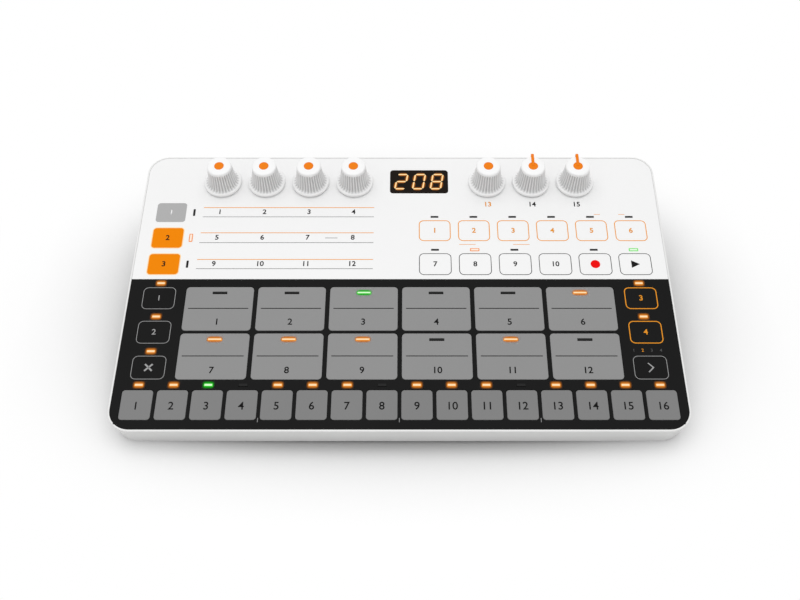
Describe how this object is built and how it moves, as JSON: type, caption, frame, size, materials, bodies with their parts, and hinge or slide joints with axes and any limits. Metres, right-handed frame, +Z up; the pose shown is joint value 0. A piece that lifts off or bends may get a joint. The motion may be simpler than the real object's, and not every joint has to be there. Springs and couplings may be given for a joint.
{
  "type": "drum machine",
  "caption": "Flat wedge-shaped desktop drum machine with sprung pads and step keys, rotary knobs, a small display and rear sockets.",
  "frame": {"origin": "on the resting surface under the middle of the case", "axes": "+X to the player's right, +Y to the back, +Z up; the playing surface tilts 9.5 degrees towards the player"},
  "size_m": [0.2558, 0.1498, 0.049],
  "materials": {
    "white_shell": "moulded white ABS, fine satin",
    "white_floor": "moulded white ABS, fine texture",
    "black_bezel": "black moulded bezel with a satin printed face",
    "white_film": "white printed polyester film, satin",
    "pad_grey": "grey moulded pad, satin",
    "key_grey": "grey moulded key, satin",
    "knob_white": "white moulded knob, semi-gloss",
    "orange_core": "orange moulded core",
    "smoked_lens": "smoked acrylic lens",
    "display_block": "black display block",
    "silicone": "grey silicone rubber",
    "circuit_board": "green circuit board laminate",
    "control_metal": "nickel-plated control body",
    "clear_guides": "clear acrylic light guide",
    "socket_black": "black moulded nylon",
    "cell_jacket": "plain printed cell jacket",
    "spring_metal": "nickel-plated spring steel",
    "foot_rubber": "black rubber",
    "screw_steel": "black zinc-plated steel"
  },
  "bodies": {
    "case": {"batteries": "cell_jacket", "battery_contacts": "spring_metal", "case_screws": "screw_steel", "control_panel": "white_film", "display_module": "display_block", "display_window": "smoked_lens", "feet": "foot_rubber", "key_frame": "black_bezel", "light_guides": "clear_guides", "lower_case": "white_floor", "main_board": "circuit_board", "rear_sockets": "socket_black", "rotary_controls": "control_metal", "socket_board": "circuit_board", "spring_mat": "silicone", "upper_case": "white_shell"},
    "drum_pad_01": {"drum_pad_01": "pad_grey"},
    "drum_pad_02": {"drum_pad_02": "pad_grey"},
    "drum_pad_03": {"drum_pad_03": "pad_grey"},
    "drum_pad_04": {"drum_pad_04": "pad_grey"},
    "drum_pad_05": {"drum_pad_05": "pad_grey"},
    "drum_pad_06": {"drum_pad_06": "pad_grey"},
    "drum_pad_07": {"drum_pad_07": "pad_grey"},
    "drum_pad_08": {"drum_pad_08": "pad_grey"},
    "drum_pad_09": {"drum_pad_09": "pad_grey"},
    "drum_pad_10": {"drum_pad_10": "pad_grey"},
    "drum_pad_11": {"drum_pad_11": "pad_grey"},
    "drum_pad_12": {"drum_pad_12": "pad_grey"},
    "step_key_01": {"step_key_01": "key_grey"},
    "step_key_02": {"step_key_02": "key_grey"},
    "step_key_03": {"step_key_03": "key_grey"},
    "step_key_04": {"step_key_04": "key_grey"},
    "step_key_05": {"step_key_05": "key_grey"},
    "step_key_06": {"step_key_06": "key_grey"},
    "step_key_07": {"step_key_07": "key_grey"},
    "step_key_08": {"step_key_08": "key_grey"},
    "step_key_09": {"step_key_09": "key_grey"},
    "step_key_10": {"step_key_10": "key_grey"},
    "step_key_11": {"step_key_11": "key_grey"},
    "step_key_12": {"step_key_12": "key_grey"},
    "step_key_13": {"step_key_13": "key_grey"},
    "step_key_14": {"step_key_14": "key_grey"},
    "step_key_15": {"step_key_15": "key_grey"},
    "step_key_16": {"step_key_16": "key_grey"},
    "sound_knob_1": {"sound_knob_1": "knob_white", "sound_knob_1_core": "orange_core"},
    "sound_knob_2": {"sound_knob_2": "knob_white", "sound_knob_2_core": "orange_core"},
    "sound_knob_3": {"sound_knob_3": "knob_white", "sound_knob_3_core": "orange_core"},
    "sound_knob_4": {"sound_knob_4": "knob_white", "sound_knob_4_core": "orange_core"},
    "data_knob": {"data_knob": "knob_white", "data_knob_core": "orange_core"},
    "tempo_knob": {"tempo_knob": "knob_white", "tempo_knob_core": "orange_core"},
    "volume_knob": {"volume_knob": "knob_white", "volume_knob_core": "orange_core"},
    "power_switch": {"power_switch": "socket_black"},
    "battery_door": {"battery_door": "white_floor"}
  },
  "joints": [
    {"name": "drum_pad_01_press", "type": "slide", "parent": "case", "child": "drum_pad_01", "axis": [0, 0.165, -0.9863], "range_m": [0, 0.0005], "stiffness_N_per_m": 2400, "springref_m": -0.0002},
    {"name": "drum_pad_02_press", "type": "slide", "parent": "case", "child": "drum_pad_02", "axis": [0, 0.165, -0.9863], "range_m": [0, 0.0005], "stiffness_N_per_m": 2400, "springref_m": -0.0002},
    {"name": "drum_pad_03_press", "type": "slide", "parent": "case", "child": "drum_pad_03", "axis": [0, 0.165, -0.9863], "range_m": [0, 0.0005], "stiffness_N_per_m": 2400, "springref_m": -0.0002},
    {"name": "drum_pad_04_press", "type": "slide", "parent": "case", "child": "drum_pad_04", "axis": [0, 0.165, -0.9863], "range_m": [0, 0.0005], "stiffness_N_per_m": 2400, "springref_m": -0.0002},
    {"name": "drum_pad_05_press", "type": "slide", "parent": "case", "child": "drum_pad_05", "axis": [0, 0.165, -0.9863], "range_m": [0, 0.0005], "stiffness_N_per_m": 2400, "springref_m": -0.0002},
    {"name": "drum_pad_06_press", "type": "slide", "parent": "case", "child": "drum_pad_06", "axis": [0, 0.165, -0.9863], "range_m": [0, 0.0005], "stiffness_N_per_m": 2400, "springref_m": -0.0002},
    {"name": "drum_pad_07_press", "type": "slide", "parent": "case", "child": "drum_pad_07", "axis": [0, 0.165, -0.9863], "range_m": [0, 0.0005], "stiffness_N_per_m": 2400, "springref_m": -0.0002},
    {"name": "drum_pad_08_press", "type": "slide", "parent": "case", "child": "drum_pad_08", "axis": [0, 0.165, -0.9863], "range_m": [0, 0.0005], "stiffness_N_per_m": 2400, "springref_m": -0.0002},
    {"name": "drum_pad_09_press", "type": "slide", "parent": "case", "child": "drum_pad_09", "axis": [0, 0.165, -0.9863], "range_m": [0, 0.0005], "stiffness_N_per_m": 2400, "springref_m": -0.0002},
    {"name": "drum_pad_10_press", "type": "slide", "parent": "case", "child": "drum_pad_10", "axis": [0, 0.165, -0.9863], "range_m": [0, 0.0005], "stiffness_N_per_m": 2400, "springref_m": -0.0002},
    {"name": "drum_pad_11_press", "type": "slide", "parent": "case", "child": "drum_pad_11", "axis": [0, 0.165, -0.9863], "range_m": [0, 0.0005], "stiffness_N_per_m": 2400, "springref_m": -0.0002},
    {"name": "drum_pad_12_press", "type": "slide", "parent": "case", "child": "drum_pad_12", "axis": [0, 0.165, -0.9863], "range_m": [0, 0.0005], "stiffness_N_per_m": 2400, "springref_m": -0.0002},
    {"name": "step_key_01_press", "type": "slide", "parent": "case", "child": "step_key_01", "axis": [0, 0.165, -0.9863], "range_m": [0, 0.0005], "stiffness_N_per_m": 1400, "springref_m": -0.0002},
    {"name": "step_key_02_press", "type": "slide", "parent": "case", "child": "step_key_02", "axis": [0, 0.165, -0.9863], "range_m": [0, 0.0005], "stiffness_N_per_m": 1400, "springref_m": -0.0002},
    {"name": "step_key_03_press", "type": "slide", "parent": "case", "child": "step_key_03", "axis": [0, 0.165, -0.9863], "range_m": [0, 0.0005], "stiffness_N_per_m": 1400, "springref_m": -0.0002},
    {"name": "step_key_04_press", "type": "slide", "parent": "case", "child": "step_key_04", "axis": [0, 0.165, -0.9863], "range_m": [0, 0.0005], "stiffness_N_per_m": 1400, "springref_m": -0.0002},
    {"name": "step_key_05_press", "type": "slide", "parent": "case", "child": "step_key_05", "axis": [0, 0.165, -0.9863], "range_m": [0, 0.0005], "stiffness_N_per_m": 1400, "springref_m": -0.0002},
    {"name": "step_key_06_press", "type": "slide", "parent": "case", "child": "step_key_06", "axis": [0, 0.165, -0.9863], "range_m": [0, 0.0005], "stiffness_N_per_m": 1400, "springref_m": -0.0002},
    {"name": "step_key_07_press", "type": "slide", "parent": "case", "child": "step_key_07", "axis": [0, 0.165, -0.9863], "range_m": [0, 0.0005], "stiffness_N_per_m": 1400, "springref_m": -0.0002},
    {"name": "step_key_08_press", "type": "slide", "parent": "case", "child": "step_key_08", "axis": [0, 0.165, -0.9863], "range_m": [0, 0.0005], "stiffness_N_per_m": 1400, "springref_m": -0.0002},
    {"name": "step_key_09_press", "type": "slide", "parent": "case", "child": "step_key_09", "axis": [0, 0.165, -0.9863], "range_m": [0, 0.0005], "stiffness_N_per_m": 1400, "springref_m": -0.0002},
    {"name": "step_key_10_press", "type": "slide", "parent": "case", "child": "step_key_10", "axis": [0, 0.165, -0.9863], "range_m": [0, 0.0005], "stiffness_N_per_m": 1400, "springref_m": -0.0002},
    {"name": "step_key_11_press", "type": "slide", "parent": "case", "child": "step_key_11", "axis": [0, 0.165, -0.9863], "range_m": [0, 0.0005], "stiffness_N_per_m": 1400, "springref_m": -0.0002},
    {"name": "step_key_12_press", "type": "slide", "parent": "case", "child": "step_key_12", "axis": [0, 0.165, -0.9863], "range_m": [0, 0.0005], "stiffness_N_per_m": 1400, "springref_m": -0.0002},
    {"name": "step_key_13_press", "type": "slide", "parent": "case", "child": "step_key_13", "axis": [0, 0.165, -0.9863], "range_m": [0, 0.0005], "stiffness_N_per_m": 1400, "springref_m": -0.0002},
    {"name": "step_key_14_press", "type": "slide", "parent": "case", "child": "step_key_14", "axis": [0, 0.165, -0.9863], "range_m": [0, 0.0005], "stiffness_N_per_m": 1400, "springref_m": -0.0002},
    {"name": "step_key_15_press", "type": "slide", "parent": "case", "child": "step_key_15", "axis": [0, 0.165, -0.9863], "range_m": [0, 0.0005], "stiffness_N_per_m": 1400, "springref_m": -0.0002},
    {"name": "step_key_16_press", "type": "slide", "parent": "case", "child": "step_key_16", "axis": [0, 0.165, -0.9863], "range_m": [0, 0.0005], "stiffness_N_per_m": 1400, "springref_m": -0.0002},
    {"name": "sound_knob_1_turn", "type": "hinge", "parent": "case", "child": "sound_knob_1", "pos_m": [-0.0891, 0.05824, 0.0338], "axis": [0, -0.165, 0.9863], "continuous": true},
    {"name": "sound_knob_2_turn", "type": "hinge", "parent": "case", "child": "sound_knob_2", "pos_m": [-0.0671, 0.05824, 0.0338], "axis": [0, -0.165, 0.9863], "continuous": true},
    {"name": "sound_knob_3_turn", "type": "hinge", "parent": "case", "child": "sound_knob_3", "pos_m": [-0.0451, 0.05824, 0.0338], "axis": [0, -0.165, 0.9863], "continuous": true},
    {"name": "sound_knob_4_turn", "type": "hinge", "parent": "case", "child": "sound_knob_4", "pos_m": [-0.0231, 0.05824, 0.0338], "axis": [0, -0.165, 0.9863], "continuous": true},
    {"name": "data_knob_turn", "type": "hinge", "parent": "case", "child": "data_knob", "pos_m": [0.0433, 0.05824, 0.0338], "axis": [0, -0.165, 0.9863], "continuous": true},
    {"name": "tempo_knob_turn", "type": "hinge", "parent": "case", "child": "tempo_knob", "pos_m": [0.0653, 0.05824, 0.0338], "axis": [0, -0.165, 0.9863], "range_deg": [-150, 150]},
    {"name": "volume_knob_turn", "type": "hinge", "parent": "case", "child": "volume_knob", "pos_m": [0.0873, 0.05824, 0.0338], "axis": [0, -0.165, 0.9863], "range_deg": [-150, 150]},
    {"name": "power_switch_slide", "type": "slide", "parent": "case", "child": "power_switch", "axis": [1, 0, 0], "range_m": [0, 0.003]},
    {"name": "battery_door_hinge", "type": "hinge", "parent": "case", "child": "battery_door", "pos_m": [0, 0.0181, 0.002], "axis": [-1, 0, 0], "range_deg": [0, 90]}
  ]
}
